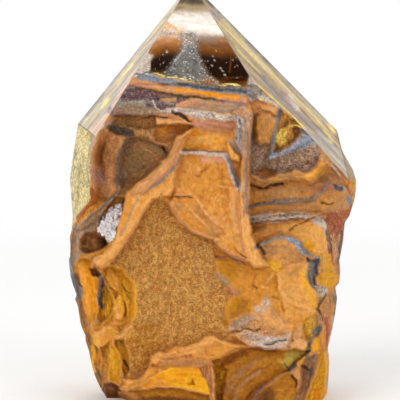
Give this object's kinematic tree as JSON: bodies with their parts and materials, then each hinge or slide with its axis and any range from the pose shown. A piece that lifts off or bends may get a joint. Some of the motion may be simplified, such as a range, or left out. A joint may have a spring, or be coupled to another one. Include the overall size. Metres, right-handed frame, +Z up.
{
  "type": "rough tiger's eye stone",
  "caption": "Natural block of rough tiger's eye with a broken, banded front, polished facets meeting in a point, and a flat sawn base that it stands on.",
  "frame": {"origin": "on the table surface, under the middle of the stone's bounding box", "axes": "+Z up through the polished point, -Y out of the broken front, +X to the right when facing the broken front"},
  "size_m": [0.0845, 0.0464, 0.1205],
  "materials": {
    "tigers_eye": "matt, grainy golden brown breaks with orange, grey and pink bands; smooth glossy polished facets at the point"
  },
  "bodies": {
    "root": {"tigers_eye_stone": "tigers_eye"}
  },
  "joints": []
}
